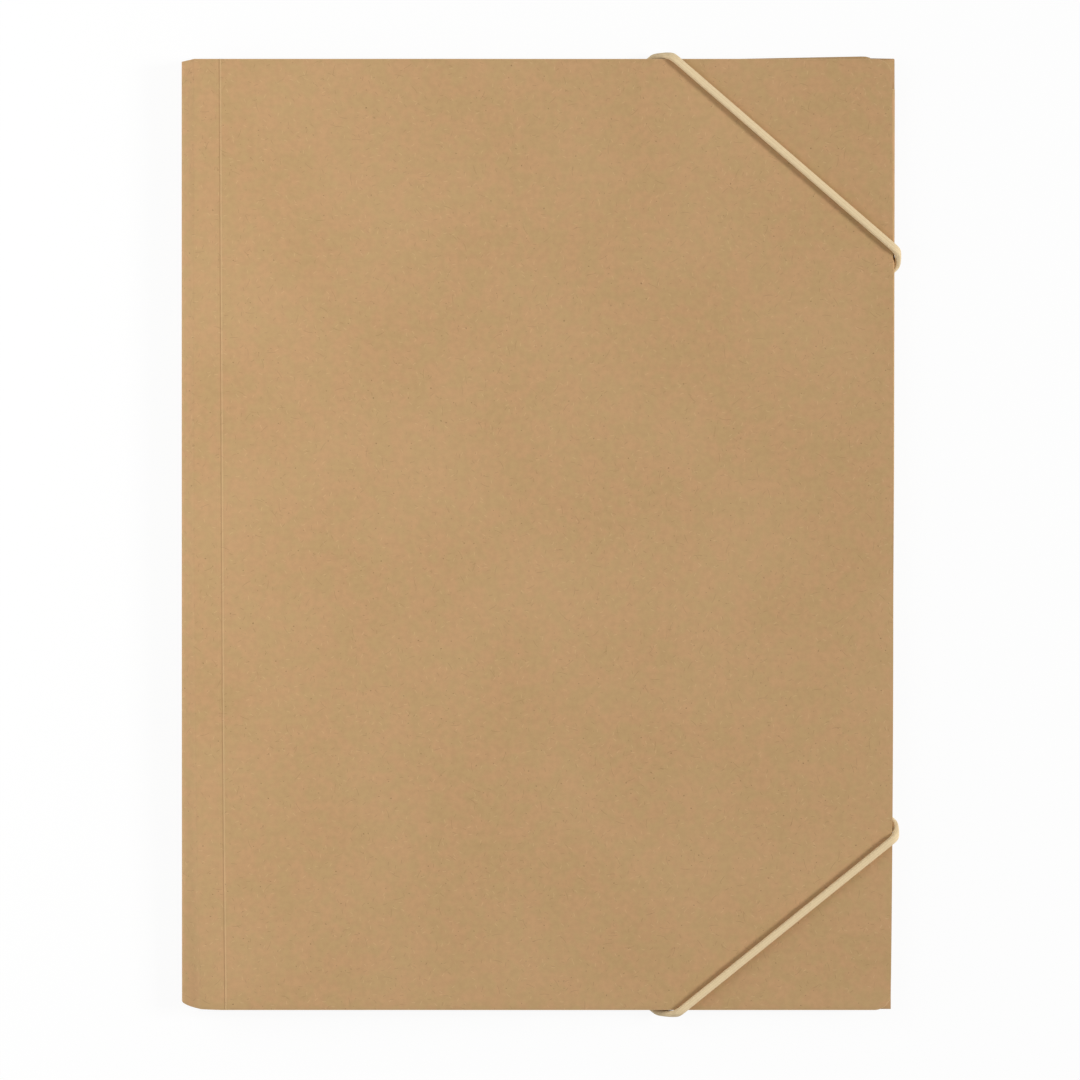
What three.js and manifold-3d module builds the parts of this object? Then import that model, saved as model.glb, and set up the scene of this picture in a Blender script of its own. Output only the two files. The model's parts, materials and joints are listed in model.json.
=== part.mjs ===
// A4 three-flap elastic folder in kraft board, lying closed on its back with the front cover up.
// Millimetres. X runs from the spine to the fore-edge, Y from foot to head, Z up off the table.

import * as THREE from "three";
import { mergeVertices } from "three/addons/utils/BufferGeometryUtils.js";
import Module from "manifold-3d";

const wasm = await Module();
wasm.setup();

// Stock
const BOARD = 0.5; // thickness of the kraft board
const CORD = 2.6; // thickness of the round elastic
const CORD_SIDES = 8;
const TOUCH = 0.3; // clearance between pieces that lie on each other

// Closed folder, seen from the front
const WIDTH = 239.8; // spine to fore-edge
const HEIGHT = 320; // head to foot
const SPINE_DEPTH = 9.6; // outside of the back panel to outside of the spine's front ridge
const SPINE_BULGE = 4.6; // how far the spine strip bows out past its two ridges
const CREASE_HEAD = 12.7; // scored crease of the front cover, from the spine's outside, at the head
const CREASE_FOOT = 14.2; // the same at the foot
const COVER_SETBACK = 0.5; // front cover's fore-edge, behind the fold of the side flap
const COVER_CORNER = 5.5; // radius of the front cover's two outer corners

// Flaps, folded in from three edges of the back panel
const END_FLAP_DEPTH = 75; // head and foot flaps, from the fold to the free edge
const END_FLAP_FROM_SPINE = 12; // start of the fold, from the spine's outside
const END_FLAP_FROM_FORE_EDGE = 8; // end of the fold, from the fore-edge
const SIDE_FLAP_DEPTH = 100;
const SIDE_FLAP_FROM_END = 10; // ends of its fold, from head and foot
const FLAP_TAPER = 12; // how far a flap's sides slope in over its depth
const FLAP_CORNER = 9; // radius of a flap's free corners

// Elastics, by the places where they cross the edges of the front cover
const UPPER_CROSSING = { end: 165.8, fore: 96 }; // along the head edge from the spine, up from mid height
const LOWER_CROSSING = { end: 166.1, fore: 101.5 }; // along the foot edge, down from mid height
const BACK_RUN = 56; // length of each end of a cord on the back, from the edge to its hole
const HOLE_CLEARANCE = 0.45; // round the cord in its hole

// Metal barb on each end of a cord, lying across its hole inside the back panel
const BARB_LENGTH = 14;
const BARB_WIDTH = 2.2;
const BARB_THICKNESS = 0.8;
const BARB_CRIMP = 3.6; // diameter of its middle, which is crimped on the cord

const CURVE_STEPS = 8; // facets of each rounded corner and fold

const KRAFT = 0xbd9a6c;
const ELASTIC = 0xe6cda2;
const STEEL = 0xb9bbbd;

// Levels, from the table up: cords on the back, back panel, barbs, flaps, front cover
const HALF_HEIGHT = HEIGHT / 2;
const PANEL_UNDER = CORD + TOUCH;
const PANEL_TOP = PANEL_UNDER + BOARD;
const BARB_UNDER = PANEL_TOP + TOUCH;
const END_FLAP_UNDER = BARB_UNDER + BARB_THICKNESS + TOUCH;
const SIDE_FLAP_UNDER = END_FLAP_UNDER + BOARD + TOUCH;
const COVER_UNDER = SIDE_FLAP_UNDER + BOARD + TOUCH;
const COVER_TOP = COVER_UNDER + BOARD; // at the fore-edge, where the cover is lowest
const RIDGE_TOP = PANEL_UNDER + SPINE_DEPTH;
const COVER_FORE_EDGE = WIDTH - COVER_SETBACK;
const FOLD_LEG = 2 * BOARD; // a fold's legs reach this far into the flat board, to be joined to it

// Height of the front cover's outer face: it settles from the spine's ridge to the flaps in a shallow curve.
function coverTop(x) {
  const share = (COVER_FORE_EDGE - x) / (COVER_FORE_EDGE - SPINE_BULGE);
  return COVER_TOP + (RIDGE_TOP - COVER_TOP) * share * share;
}

// The crease runs slightly out of square to the spine.
function creaseX(y) {
  return (CREASE_HEAD + CREASE_FOOT) / 2 + ((CREASE_HEAD - CREASE_FOOT) * y) / HEIGHT;
}

function solid(geometry) {
  const bare = geometry.clone();
  bare.deleteAttribute("normal");
  bare.deleteAttribute("uv");
  const merged = mergeVertices(bare);
  return new wasm.Manifold(
    new wasm.Mesh({
      numProp: 3,
      vertProperties: new Float32Array(merged.attributes.position.array),
      triVerts: new Uint32Array(merged.index.array),
    }),
  );
}

function toGeometry(manifold) {
  const { numProp, vertProperties, triVerts } = manifold.getMesh();
  const geometry = new THREE.BufferGeometry();
  const count = vertProperties.length / numProp;
  const position = new Float32Array(3 * count);
  for (let i = 0; i < count; i++) {
    position.set(vertProperties.subarray(i * numProp, i * numProp + 3), 3 * i);
  }
  geometry.setAttribute("position", new THREE.BufferAttribute(position, 3));
  geometry.setIndex(new THREE.BufferAttribute(new Uint32Array(triVerts), 1));
  geometry.computeVertexNormals();
  return geometry;
}

function addMesh(parent, name, geometry, color, roughness, metalness) {
  const mesh = new THREE.Mesh(geometry, new THREE.MeshStandardMaterial({ color, roughness, metalness }));
  mesh.name = name;
  parent.add(mesh);
  return mesh;
}

function extrude(shape, depth) {
  return new THREE.ExtrudeGeometry(shape, { depth, bevelEnabled: false, curveSegments: CURVE_STEPS });
}

// Flat board: an outline seen from above, from one level up to the next.
function plate(shape, bottom, top) {
  const geometry = extrude(shape, top - bottom);
  geometry.translate(0, 0, bottom);
  return geometry;
}

// Bent board: a section drawn in X and Z, carried along Y from one end to the other.
function alongY(shape, from, to) {
  const geometry = extrude(shape, to - from);
  geometry.rotateX(Math.PI / 2);
  geometry.translate(0, to, 0);
  return geometry;
}

function roundHole(centre, radius) {
  const sides = 20;
  const points = [];
  for (let i = 0; i < sides; i++) {
    const angle = (-2 * Math.PI * i) / sides;
    points.push(new THREE.Vector2(centre.x + radius * Math.cos(angle), centre.y + radius * Math.sin(angle)));
  }
  return new THREE.Path(points);
}

// Outline of a sheet of board bent along a path: the path is one face, and the other lies one board to its left.
function sheetSection(path) {
  const inner = path.map((point, i) => {
    const before = path[Math.max(i - 1, 0)];
    const after = path[Math.min(i + 1, path.length - 1)];
    const incoming = (i > 0 ? point.clone().sub(before) : after.clone().sub(point)).normalize();
    const outgoing = (i < path.length - 1 ? after.clone().sub(point) : incoming.clone()).normalize();
    const left = new THREE.Vector2(-incoming.y - outgoing.y, incoming.x + outgoing.x).normalize();
    const mitre = left.dot(new THREE.Vector2(-incoming.y, incoming.x));
    return point.clone().addScaledVector(left, BOARD / mitre);
  });
  return new THREE.Shape([...path, ...inner.reverse()]);
}

// Section of a fold of half a turn at x = 0, from the back panel up and over to a flap that starts at underZ.
function foldSection(underZ) {
  const radius = (underZ + BOARD - PANEL_UNDER) / 2;
  const middle = PANEL_UNDER + radius;
  const quarter = Math.PI / 2;
  const shape = new THREE.Shape();
  shape.moveTo(-radius - FOLD_LEG, PANEL_UNDER);
  shape.absarc(-radius, middle, radius, -quarter, quarter, false);
  shape.lineTo(-radius - FOLD_LEG, underZ + BOARD);
  shape.lineTo(-radius - FOLD_LEG, underZ);
  shape.absarc(-radius, middle, radius - BOARD, quarter, -quarter, true);
  shape.lineTo(-radius - FOLD_LEG, PANEL_TOP);
  return shape;
}

// Plan of a flap: its fold lies along v = 0 from u = start to end, and it reaches in to v = depth.
function flapPlan(start, end, from, depth) {
  const slope = FLAP_TAPER / depth;
  const shape = new THREE.Shape();
  shape.moveTo(start, from);
  shape.lineTo(end, from);
  shape.lineTo(end - slope * (depth - FLAP_CORNER), depth - FLAP_CORNER);
  shape.quadraticCurveTo(end - FLAP_TAPER, depth, end - FLAP_TAPER - FLAP_CORNER, depth);
  shape.lineTo(start + FLAP_TAPER + FLAP_CORNER, depth);
  shape.quadraticCurveTo(start + FLAP_TAPER, depth, start + slope * (depth - FLAP_CORNER), depth - FLAP_CORNER);
  return shape;
}

// One flap with its fold, made at the edge x = 0 with the flap reaching to -X, running along Y.
function flap(underZ, start, end, depth) {
  const radius = (underZ + BOARD - PANEL_UNDER) / 2;
  const leaf = plate(flapPlan(start, end, radius, depth), underZ, underZ + BOARD);
  leaf.rotateZ(Math.PI / 2);
  return solid(alongY(foldSection(underZ), start, end)).add(solid(leaf));
}

// Everything that is cut from the same blank as the back panel, but for the front cover.
function backCard(holes) {
  const endRadius = (END_FLAP_UNDER + BOARD - PANEL_UNDER) / 2;
  const sideRadius = (SIDE_FLAP_UNDER + BOARD - PANEL_UNDER) / 2;
  const endStop = HALF_HEIGHT - endRadius;
  const sideStop = WIDTH - sideRadius;
  const endFrom = END_FLAP_FROM_SPINE;
  const endTo = WIDTH - END_FLAP_FROM_FORE_EDGE;
  const sideTo = HALF_HEIGHT - SIDE_FLAP_FROM_END;

  const headHalf = [
    [sideStop, sideTo],
    [WIDTH, sideTo],
    [WIDTH, HALF_HEIGHT],
    [endTo, HALF_HEIGHT],
    [endTo, endStop],
    [endFrom, endStop],
    [endFrom, HALF_HEIGHT],
    [SPINE_BULGE, HALF_HEIGHT],
  ].map(([x, y]) => new THREE.Vector2(x, y));
  const footHalf = headHalf.map((point) => new THREE.Vector2(point.x, -point.y)).reverse();
  const plan = new THREE.Shape([...headHalf, ...footHalf]);
  const holeRadius = CORD / 2 / Math.cos(Math.PI / CORD_SIDES) + HOLE_CLEARANCE;
  plan.holes = holes.map((centre) => roundHole(centre, holeRadius));
  const panel = solid(plate(plan, PANEL_UNDER, PANEL_TOP));

  const bowSteps = 14;
  const stripSteps = 3;
  const path = [];
  for (let i = 0; i < stripSteps; i++) {
    const x = CREASE_FOOT + BOARD - ((CREASE_FOOT + BOARD - SPINE_BULGE) * i) / stripSteps;
    path.push(new THREE.Vector2(x, coverTop(x)));
  }
  for (let i = 0; i <= bowSteps; i++) {
    const share = i / bowSteps;
    const bow = SPINE_BULGE * (1 - Math.sin(Math.PI * share));
    path.push(new THREE.Vector2(bow, RIDGE_TOP - SPINE_DEPTH * share));
  }
  path.push(new THREE.Vector2(SPINE_BULGE + 2 * FOLD_LEG, PANEL_UNDER));
  const spine = solid(alongY(sheetSection(path), -HALF_HEIGHT, HALF_HEIGHT));

  const beyond = new THREE.Shape([
    new THREE.Vector2(creaseX(-HEIGHT) - TOUCH / 2, -HEIGHT),
    new THREE.Vector2(WIDTH, -HEIGHT),
    new THREE.Vector2(WIDTH, HEIGHT),
    new THREE.Vector2(creaseX(HEIGHT) - TOUCH / 2, HEIGHT),
  ]);
  const cut = solid(plate(beyond, COVER_UNDER, RIDGE_TOP + BOARD));

  const headFlap = flap(END_FLAP_UNDER, -endTo, -endFrom, END_FLAP_DEPTH).rotate([0, 0, 90]);
  const sideFlap = flap(SIDE_FLAP_UNDER, -sideTo, sideTo, SIDE_FLAP_DEPTH).translate([WIDTH, 0, 0]);
  return panel
    .add(spine.subtract(cut))
    .add(headFlap.translate([0, HALF_HEIGHT, 0]))
    .add(headFlap.mirror([0, 1, 0]).translate([0, -HALF_HEIGHT, 0]))
    .add(sideFlap);
}

function frontCover() {
  const steps = 28;
  const from = CREASE_HEAD - BOARD;
  const path = [];
  for (let i = 0; i <= steps; i++) {
    const x = COVER_FORE_EDGE + BOARD - ((COVER_FORE_EDGE + BOARD - from) * i) / steps;
    path.push(new THREE.Vector2(x, coverTop(x)));
  }
  const sheet = solid(alongY(sheetSection(path), -HALF_HEIGHT, HALF_HEIGHT));

  const plan = new THREE.Shape();
  plan.moveTo(creaseX(-HALF_HEIGHT) + TOUCH / 2, -HALF_HEIGHT);
  plan.lineTo(COVER_FORE_EDGE - COVER_CORNER, -HALF_HEIGHT);
  plan.absarc(COVER_FORE_EDGE - COVER_CORNER, COVER_CORNER - HALF_HEIGHT, COVER_CORNER, -Math.PI / 2, 0, false);
  plan.absarc(COVER_FORE_EDGE - COVER_CORNER, HALF_HEIGHT - COVER_CORNER, COVER_CORNER, 0, Math.PI / 2, false);
  plan.lineTo(creaseX(HALF_HEIGHT) + TOUCH / 2, HALF_HEIGHT);
  return sheet.intersect(solid(plate(plan, PANEL_TOP, RIDGE_TOP + BOARD)));
}

// A cord's route as a list of stations, each a point and the direction that faces away from the board.
// The section is set square to the route at every station, so one flat side always lies along the board.
class CordRoute extends THREE.Curve {
  constructor(stations) {
    super();
    this.stations = stations;
  }

  getPoint(t) {
    const place = t * (this.stations.length - 1);
    const i = Math.min(Math.floor(place), this.stations.length - 2);
    return this.stations[i].point.clone().lerp(this.stations[i + 1].point, place - i);
  }

  getPointAt(u) {
    return this.getPoint(u);
  }

  computeFrenetFrames() {
    const last = this.stations.length - 1;
    const tangents = this.stations.map((station, i) => {
      const into = station.point.clone().sub(this.stations[Math.max(i - 1, 0)].point).normalize();
      const out = this.stations[Math.min(i + 1, last)].point.clone().sub(station.point).normalize();
      return into.add(out).normalize();
    });
    const binormals = tangents.map((tangent, i) => tangent.clone().cross(this.stations[i].away).normalize());
    const normals = tangents.map((tangent, i) => binormals[i].clone().cross(tangent).normalize());
    return { tangents, normals, binormals };
  }
}

// The elastic over the head corner: hole, back, round the head edge, across the front, round the fore-edge,
// back, hole. Taut, so it keeps one slope where it turns round an edge, as a straight line on the unfolded card.
function cordStations({ end, fore }) {
  const bend = CORD / 2 + TOUCH; // radius of the cord's middle line round an edge
  const arcSteps = 4;
  const frontSteps = 6;
  const run = WIDTH - end;
  const drop = HALF_HEIGHT - fore;
  const inward = new THREE.Vector3(-run, -drop, 0).normalize();
  const up = new THREE.Vector3(0, 0, 1);
  const headTop = coverTop(end);
  const headStart = end - (run / drop) * (Math.PI * bend + headTop - PANEL_UNDER);
  const foreFinish = fore - (drop / run) * (Math.PI * bend + COVER_TOP - PANEL_UNDER);
  const stations = [];

  // A quarter turn from one direction off the board to the next, round a corner point that shifts as it goes.
  function quarterTurn(corner, shift, fromAway, toAway) {
    for (let i = 0; i <= arcSteps; i++) {
      const angle = (i / arcSteps) * (Math.PI / 2);
      const away = fromAway.clone().multiplyScalar(Math.cos(angle)).addScaledVector(toAway, Math.sin(angle));
      const point = corner.clone().addScaledVector(shift, bend * angle).addScaledVector(away, bend);
      stations.push({ point, away });
    }
  }

  const none = new THREE.Vector3();
  const down = up.clone().negate();
  const headward = new THREE.Vector3(0, 1, 0);
  const forward = new THREE.Vector3(1, 0, 0);
  const alongHead = new THREE.Vector3(run / drop, 0, 0);
  const alongFore = new THREE.Vector3(0, -drop / run, 0);

  const headHole = new THREE.Vector3(headStart, HALF_HEIGHT, PANEL_UNDER).addScaledVector(inward, BACK_RUN);
  stations.push({ point: headHole.clone().setZ(PANEL_TOP), away: inward.clone() });
  quarterTurn(headHole.clone().addScaledVector(inward, -bend), none, inward, down);

  const underHead = new THREE.Vector3(headStart, HALF_HEIGHT, PANEL_UNDER);
  quarterTurn(underHead, alongHead, down, headward);
  const overHead = new THREE.Vector3(end - (run / drop) * (Math.PI / 2) * bend, HALF_HEIGHT, headTop);
  quarterTurn(overHead, alongHead, headward, up);

  const frontFrom = new THREE.Vector3(end, HALF_HEIGHT, headTop + bend);
  const frontTo = new THREE.Vector3(WIDTH, fore, COVER_TOP + bend);
  for (let i = 1; i < frontSteps; i++) {
    stations.push({ point: frontFrom.clone().lerp(frontTo, i / frontSteps), away: up });
  }

  quarterTurn(new THREE.Vector3(WIDTH, fore, COVER_TOP), alongFore, up, forward);
  const underFore = new THREE.Vector3(WIDTH, foreFinish + (drop / run) * (Math.PI / 2) * bend, PANEL_UNDER);
  quarterTurn(underFore, alongFore, forward, down);

  const foreHole = new THREE.Vector3(WIDTH, foreFinish, PANEL_UNDER).addScaledVector(inward, BACK_RUN);
  quarterTurn(foreHole.clone().addScaledVector(inward, -bend), none, down, inward);
  stations.push({ point: foreHole.clone().setZ(PANEL_TOP), away: inward.clone() });
  return { stations, holes: [headHole, foreHole], inward };
}

function cordGeometry(stations) {
  const radius = CORD / 2 / Math.cos(Math.PI / CORD_SIDES);
  const section = new THREE.Shape();
  for (let i = 0; i < CORD_SIDES; i++) {
    const angle = ((i + 0.5) * 2 * Math.PI) / CORD_SIDES;
    section[i === 0 ? "moveTo" : "lineTo"](radius * Math.cos(angle), radius * Math.sin(angle));
  }
  return new THREE.ExtrudeGeometry(section, {
    steps: stations.length - 1,
    bevelEnabled: false,
    extrudePath: new CordRoute(stations),
  });
}

// A flat bar with round ends, swelling to a round crimp in its middle.
function barbGeometry() {
  const half = BARB_WIDTH / 2;
  const neck = Math.asin(BARB_WIDTH / BARB_CRIMP);
  const shape = new THREE.Shape();
  shape.absarc(BARB_LENGTH / 2 - half, 0, half, -Math.PI / 2, Math.PI / 2, false);
  shape.absarc(0, 0, BARB_CRIMP / 2, neck, Math.PI - neck, false);
  shape.absarc(half - BARB_LENGTH / 2, 0, half, Math.PI / 2, (3 * Math.PI) / 2, false);
  shape.absarc(0, 0, BARB_CRIMP / 2, Math.PI + neck, 2 * Math.PI - neck, false);
  return plate(shape, 0, BARB_THICKNESS);
}

const folder = new THREE.Group();
folder.position.x = -(WIDTH + TOUCH + CORD) / 2;

const cords = [
  { name: "upper", flip: 1, route: cordStations(UPPER_CROSSING) },
  { name: "lower", flip: -1, route: cordStations(LOWER_CROSSING) },
];

const holes = [];
for (const { name, flip, route } of cords) {
  const mirrorY = new THREE.Vector3(1, flip, 1);
  const stations = route.stations.map(({ point, away }) => ({
    point: point.clone().multiply(mirrorY),
    away: away.clone().multiply(mirrorY),
  }));
  addMesh(folder, `${name}_elastic_cord`, cordGeometry(stations), ELASTIC, 0.85, 0);

  const across = Math.atan2(flip * route.inward.y, route.inward.x) + Math.PI / 2;
  route.holes.forEach((hole, i) => {
    const centre = hole.clone().multiply(mirrorY);
    holes.push(centre);
    const barb = addMesh(folder, `${name}_cord_barb_${i + 1}`, barbGeometry(), STEEL, 0.35, 1);
    barb.position.set(centre.x, centre.y, BARB_UNDER);
    barb.rotation.z = across;
  });
}

addMesh(folder, "back_card", toGeometry(backCard(holes)), KRAFT, 0.9, 0);
addMesh(folder, "front_cover", toGeometry(frontCover()), KRAFT, 0.9, 0);

export default folder;
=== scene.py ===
"""Looks of the A4 elastic folder: kraft board, two cream elastics, steel barbs.

Lengths are millimetres in the arrays and become metres when a mesh is made. X runs from the spine to the
fore-edge, Y from foot to head, Z up off the table, as in the frame.
"""

import json
import math

import bmesh
import bpy
import numpy as np
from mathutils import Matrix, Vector


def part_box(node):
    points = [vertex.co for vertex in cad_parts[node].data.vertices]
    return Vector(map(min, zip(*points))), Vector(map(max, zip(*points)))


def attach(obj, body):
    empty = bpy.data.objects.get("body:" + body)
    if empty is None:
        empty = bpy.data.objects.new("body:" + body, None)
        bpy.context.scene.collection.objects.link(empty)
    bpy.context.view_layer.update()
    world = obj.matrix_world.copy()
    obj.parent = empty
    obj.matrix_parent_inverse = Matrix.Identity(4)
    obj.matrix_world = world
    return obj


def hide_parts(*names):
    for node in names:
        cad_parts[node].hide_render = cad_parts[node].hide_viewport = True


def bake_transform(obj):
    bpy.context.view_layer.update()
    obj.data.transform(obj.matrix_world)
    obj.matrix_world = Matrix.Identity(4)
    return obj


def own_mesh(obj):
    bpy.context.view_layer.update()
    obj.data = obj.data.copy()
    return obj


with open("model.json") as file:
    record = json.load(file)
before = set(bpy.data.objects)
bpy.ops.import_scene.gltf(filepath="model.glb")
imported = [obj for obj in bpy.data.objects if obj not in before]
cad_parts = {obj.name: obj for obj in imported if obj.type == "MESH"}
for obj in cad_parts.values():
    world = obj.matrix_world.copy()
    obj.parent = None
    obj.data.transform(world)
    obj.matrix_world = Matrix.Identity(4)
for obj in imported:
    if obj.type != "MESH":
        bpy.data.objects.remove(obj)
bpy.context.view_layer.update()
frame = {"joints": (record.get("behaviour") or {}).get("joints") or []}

MM = 0.001


def node_box(name):
    """Lowest and highest corner of a CAD node, in millimetres."""
    low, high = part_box(name)
    return np.array(low) / MM, np.array(high) / MM


# Stock and clearances, as in the frame
BOARD = 0.5
TOUCH = 0.3
CORD = 2.6
BARB_THICKNESS = 0.8
SPINE_BULGE = 4.6
COVER_CORNER = 5.5
COVER_SETBACK = 0.5

# Levels and edges, from the frame
CARD_LOW, CARD_HIGH = node_box("back_card")
COVER_LOW, COVER_HIGH = node_box("front_cover")
SPINE_X = CARD_LOW[0]
FORE_X = CARD_HIGH[0]
HALF_HEIGHT = CARD_HIGH[1]
PANEL_UNDER = CARD_LOW[2]
PANEL_TOP = PANEL_UNDER + BOARD
RIDGE_TOP = CARD_HIGH[2]
RIDGE_X = SPINE_X + SPINE_BULGE
PANEL_FROM = RIDGE_X + 2.0
COVER_FORE_X = FORE_X - COVER_SETBACK
COVER_TOP = COVER_LOW[2] + BOARD
END_FLAP_UNDER = PANEL_TOP + TOUCH + BARB_THICKNESS + TOUCH
SIDE_FLAP_UNDER = END_FLAP_UNDER + BOARD + TOUCH

# Flaps, as folded in
END_FLAP_DEPTH = 75.0
END_FLAP_FROM_SPINE = 12.0
END_FLAP_FROM_FORE_EDGE = 8.0
SIDE_FLAP_DEPTH = 100.0
SIDE_FLAP_FROM_END = 10.0
FLAP_TAPER = 12.0
FLAP_CORNER = 9.0

# Elastics: where they cross the head or foot edge from the spine, and the fore-edge from mid height, and how
# far they stand off the head or foot edge
UPPER_CROSSING = {"end": 165.8, "fore": 96.0, "slack": 0.0}
LOWER_CROSSING = {"end": 167.7, "fore": 102.5, "slack": 0.2}
HOLE_CLEARANCE = 0.45

HINGE = frame["joints"][0]
HINGE_POINT = np.array(HINGE["pos_m"]) / MM
HINGE_AXIS = np.array(HINGE["axis"])
CREASE_STRIP = 1.0  # half the width of the strip at the crease

# Camera: straight above the cover, at the distance where the picture is this wide on it
FRAME_WIDTH = 363.3
CAMERA_DISTANCE = 1500.0
CAMERA_AIM = (-0.85, -1.87)
SENSOR = 36.0

FLOOR_HALF = 3.0  # half the floor's side, in metres


def make_camera():
    """The photograph's view: square to the cover, head up."""
    data = bpy.data.cameras.new("camera")
    data.sensor_width = SENSOR
    data.lens = SENSOR * CAMERA_DISTANCE / FRAME_WIDTH
    data.clip_end = 20.0
    camera = bpy.data.objects.new("camera", data)
    camera.location = Vector((CAMERA_AIM[0], CAMERA_AIM[1], COVER_TOP + CAMERA_DISTANCE)) * MM
    bpy.context.scene.collection.objects.link(camera)
    bpy.context.scene.camera = camera


# Colour and nodes

def colour(code):
    """Linear RGBA of an sRGB hex value."""
    channels = [int(code[i:i + 2], 16) / 255 for i in (0, 2, 4)]
    linear = [c / 12.92 if c <= 0.04045 else ((c + 0.055) / 1.055) ** 2.4 for c in channels]
    return (*linear, 1.0)


def add(tree, kind, inputs=None, **settings):
    """Adds a node, sets its settings, and gives each input a value or a link."""
    made = tree.nodes.new(kind)
    for name, value in settings.items():
        setattr(made, name, value)
    for name, value in (inputs or {}).items():
        if isinstance(value, bpy.types.NodeSocket):
            tree.links.new(value, made.inputs[name])
        else:
            made.inputs[name].default_value = value
    return made


def new_material(name):
    """A material with an empty node tree."""
    material = bpy.data.materials.new(name)
    material.use_nodes = True
    material.node_tree.nodes.clear()
    return material, material.node_tree


def stepped(tree, value, low, high):
    """0 where the value is under low, 1 over high, smooth between; low may be the larger."""
    inputs = {"Value": value, "From Min": low, "From Max": high}
    return add(tree, "ShaderNodeMapRange", inputs, interpolation_type="SMOOTHSTEP").outputs["Result"]


def maths(tree, operation, first, second=0.0):
    """One operation on two values."""
    return add(tree, "ShaderNodeMath", {0: first, 1: second}, operation=operation).outputs[0]


def mixed(tree, share_of_second, first, second):
    """A blend of two colours."""
    return add(tree, "ShaderNodeMix", {0: share_of_second, 6: first, 7: second}, data_type="RGBA").outputs[2]


def scaled(tree, vector, factor):
    """A place times a number."""
    return add(tree, "ShaderNodeVectorMath", {0: vector, "Scale": factor}, operation="SCALE").outputs[0]


def unfolded_mm(tree):
    """The place on the sheet as it lies unfolded, in millimetres."""
    return scaled(tree, add(tree, "ShaderNodeUVMap", uv_map="unfolded").outputs[0], 1 / MM)


def turned(tree, vector, angle):
    """A place turned about Z."""
    inputs = {"Vector": vector, "Angle": angle}
    return add(tree, "ShaderNodeVectorRotate", inputs, rotation_type="Z_AXIS").outputs[0]


def fibres(tree, place, cell, length, width, share_shown, turn):
    """Short bent fibres: the plane is cut into cells about as wide as given, and each shown cell holds one
    fibre of the given length and width, turned at random. Gives 1 on a fibre and 0 beside it."""
    in_cells = scaled(tree, turned(tree, place, turn), 1 / cell)
    inputs = {"Vector": in_cells, "Scale": 1.0}
    cells = add(tree, "ShaderNodeTexVoronoi", inputs, voronoi_dimensions="2D")
    inputs = {0: in_cells, 1: cells.outputs["Position"]}
    local = add(tree, "ShaderNodeVectorMath", inputs, operation="SUBTRACT").outputs[0]
    chance = add(tree, "ShaderNodeSeparateColor", {"Color": cells.outputs["Color"]})
    angle = maths(tree, "MULTIPLY", chance.outputs["Red"], 2 * math.pi)
    parts = add(tree, "ShaderNodeSeparateXYZ", {"Vector": turned(tree, local, angle)})
    square = maths(tree, "MULTIPLY", parts.outputs["X"], parts.outputs["X"])
    bend = maths(tree, "MULTIPLY", square, 0.5)
    off = maths(tree, "ABSOLUTE", maths(tree, "SUBTRACT", parts.outputs["Y"], bend))
    beside = stepped(tree, off, width / cell, 0.3 * width / cell)
    from_middle = maths(tree, "ABSOLUTE", parts.outputs["X"])
    along = stepped(tree, from_middle, length / 2 / cell, 0.35 * length / cell)
    shown = stepped(tree, chance.outputs["Green"], share_shown, share_shown - 0.15)
    return maths(tree, "MULTIPLY", maths(tree, "MULTIPLY", beside, along), shown)


def noise(tree, place, size, detail=2.0, roughness=0.5):
    """Soft random value from 0 to 1 whose patches are about the given size in millimetres."""
    inputs = {"Vector": place, "Scale": 0.5 / size, "Detail": detail, "Roughness": roughness}
    return add(tree, "ShaderNodeTexNoise", inputs).outputs["Fac"]


def tinted(tree, tone, mask, strength, code):
    """A colour laid over another where the mask is 1, at the given strength."""
    return mixed(tree, maths(tree, "MULTIPLY", mask, strength), tone, colour(code))


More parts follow.
